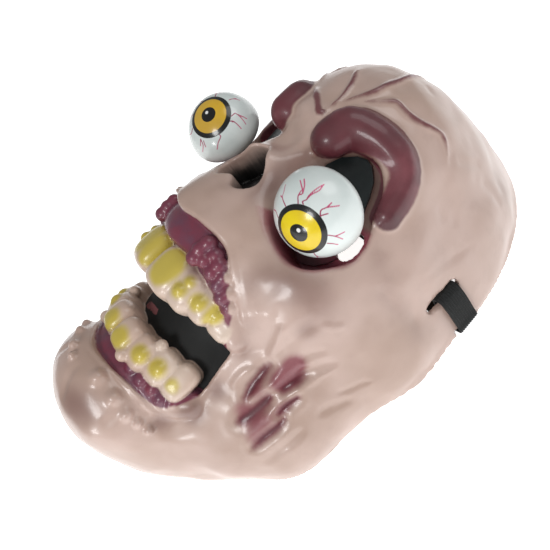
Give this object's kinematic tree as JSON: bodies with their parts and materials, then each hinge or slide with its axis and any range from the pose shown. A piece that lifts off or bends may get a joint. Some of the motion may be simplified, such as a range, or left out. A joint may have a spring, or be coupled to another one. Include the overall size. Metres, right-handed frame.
{
  "type": "zombie mask",
  "caption": "Thin moulded plastic full-face zombie mask with bulging eyeballs, bared teeth, a slotted rim and an elastic head strap, lying face up.",
  "frame": {"origin": "on the ground under the middle of the mask's outline, in the plane of the rim that it lies on", "axes": "+Z out of the face, +Y towards the forehead, +X towards the wearer's left"},
  "size_m": [0.1706, 0.2684, 0.1114],
  "materials": {
    "shell": "glossy moulded plastic, painted",
    "plate": "smooth, green-black",
    "spring": "bare wire",
    "eyeball": "glossy, printed",
    "strap": "finely ribbed elastic webbing"
  },
  "bodies": {
    "root": {"mask_shell": "shell", "left_eye_plate": "plate", "right_eye_plate": "plate", "left_eye_spring": "spring", "right_eye_spring": "spring", "left_eyeball": "eyeball", "right_eyeball": "eyeball", "head_strap": "strap"}
  },
  "joints": []
}
